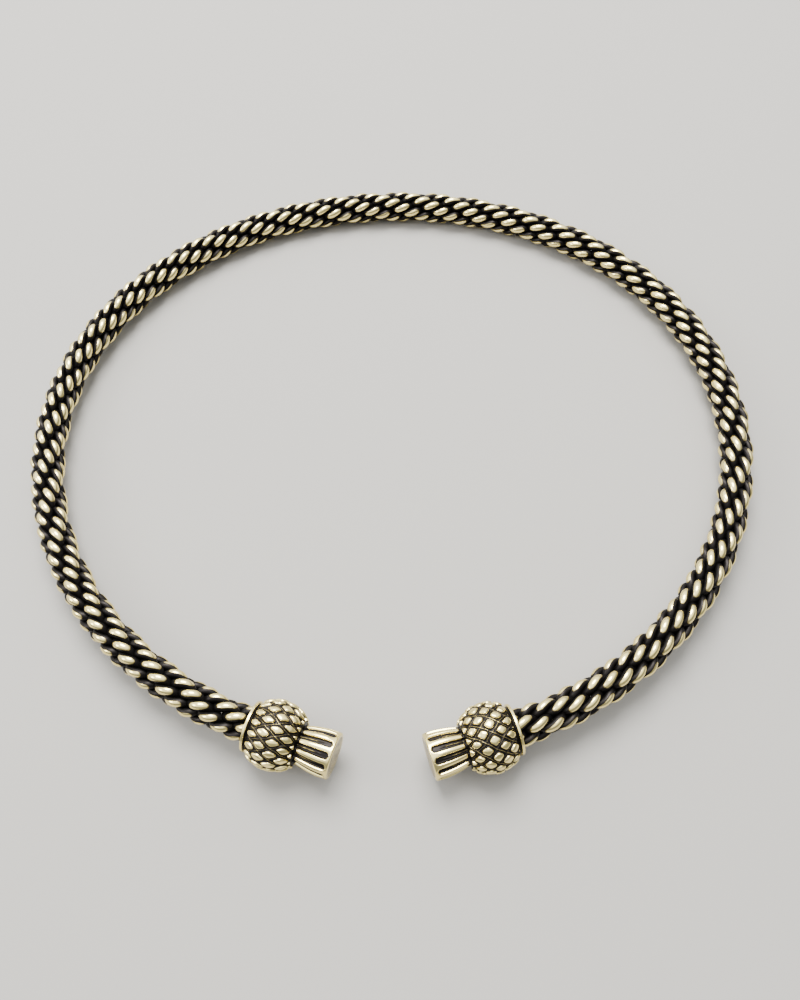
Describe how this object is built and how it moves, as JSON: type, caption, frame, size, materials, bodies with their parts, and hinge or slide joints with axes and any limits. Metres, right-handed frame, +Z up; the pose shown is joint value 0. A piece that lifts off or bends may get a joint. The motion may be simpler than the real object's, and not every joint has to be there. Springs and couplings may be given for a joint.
{
  "type": "twisted neck torc with thistle ends",
  "caption": "Open neck ring of twisted bronze cable that ends in cast thistle heads with fluted tufts, antiqued dark in the grooves and polished on the crowns.",
  "frame": {"origin": "middle of the footprint, on the surface that the torc lies on", "axes": "+X across the hoop towards the right thistle, +Z up out of the plane of the hoop; the opening is towards -Y"},
  "size_m": [0.15, 0.14, 0.0127],
  "materials": {
    "wire": "antiqued bronze wire, black in the grooves, polished crowns",
    "thistle": "antiqued cast bronze, black in the channels, polished bosses and petals"
  },
  "bodies": {
    "root": {"strand_1": "wire", "strand_2": "wire", "strand_3": "wire", "strand_4": "wire", "thistle_left": "thistle", "thistle_right": "thistle"}
  },
  "joints": []
}
